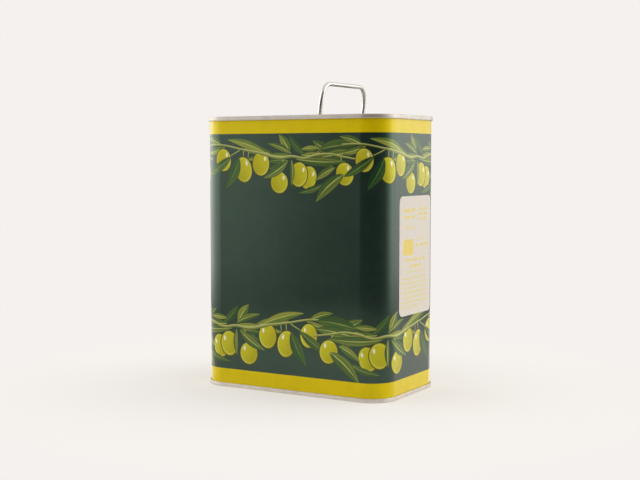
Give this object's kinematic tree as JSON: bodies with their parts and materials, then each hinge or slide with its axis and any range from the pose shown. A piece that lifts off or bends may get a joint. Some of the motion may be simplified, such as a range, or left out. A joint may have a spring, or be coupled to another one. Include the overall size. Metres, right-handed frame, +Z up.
{
  "type": "rectangular oil tin with pull-out spout",
  "caption": "Rectangular seamed tin for oil, with rounded corners, a swinging wire bail, and a screw-capped pouring spout that slides out of the countersunk top.",
  "frame": {"origin": "middle of the base, on the plane that the lower seam stands on", "axes": "+Z up, along the tin's height; +X along the wide front to the right; +Y from the wide front to the back"},
  "size_m": [0.1672, 0.0982, 0.2398],
  "materials": {
    "printed_tinplate": "lithographed tinplate under gloss varnish",
    "bright_tinplate": "bright tinplate, rolled",
    "seam_compound": "cured lining compound",
    "tinned_wire": "drawn and tinned steel wire",
    "ear_plate": "pressed tinplate",
    "collar_plastic": "moulded polyethylene",
    "gasket_rubber": "smooth sheet rubber",
    "nozzle_plastic": "moulded polyethylene",
    "cap_plastic": "moulded polyethylene",
    "liner_foam": "foamed polyethylene",
    "label_paper": "coated paper label"
  },
  "bodies": {
    "tin": {"body_shell": "printed_tinplate", "top_end": "bright_tinplate", "bottom_end": "bright_tinplate", "top_seam_compound": "seam_compound", "bottom_seam_compound": "seam_compound", "bail_ear_front": "ear_plate", "bail_ear_rear": "ear_plate", "spout_collar": "collar_plastic", "collar_gasket": "gasket_rubber", "side_label": "label_paper"},
    "bail": {"bail_wire": "tinned_wire"},
    "nozzle": {"spout_nozzle": "nozzle_plastic", "security_band": "cap_plastic"},
    "liner": {"cap_liner": "liner_foam"},
    "cap": {"cap_shell": "cap_plastic"},
    "tab_left": {"pull_tab_left": "cap_plastic"},
    "tab_right": {"pull_tab_right": "cap_plastic"}
  },
  "joints": [
    {"name": "bail_swing", "type": "hinge", "parent": "tin", "child": "bail", "pos_m": [0.0196, 0, 0.21023], "axis": [0, 1, 0], "range_deg": [-97.4, 82.6]},
    {"name": "spout_pull", "type": "slide", "parent": "tin", "child": "nozzle", "axis": [0, 0, 1], "range_m": [0, 0.026]},
    {"name": "cap_rise", "type": "slide", "parent": "nozzle", "child": "liner", "axis": [0, 0, 1], "range_m": [0, 0.0046]},
    {"name": "cap_turn", "type": "hinge", "parent": "liner", "child": "cap", "pos_m": [-0.042, 0, 0.2102], "axis": [0, 0, 1], "range_deg": [0, 540]},
    {"name": "tab_left_lift", "type": "hinge", "parent": "cap", "child": "tab_left", "pos_m": [-0.043, 0, 0.2137], "axis": [0, 1, 0], "range_deg": [0, 90]},
    {"name": "tab_right_lift", "type": "hinge", "parent": "cap", "child": "tab_right", "pos_m": [-0.041, 0, 0.2137], "axis": [0, -1, 0], "range_deg": [0, 90]}
  ],
  "couplings": [
    {"joint": "cap_rise", "follows": "cap_turn", "m_per_rad": 0.00047746}
  ]
}
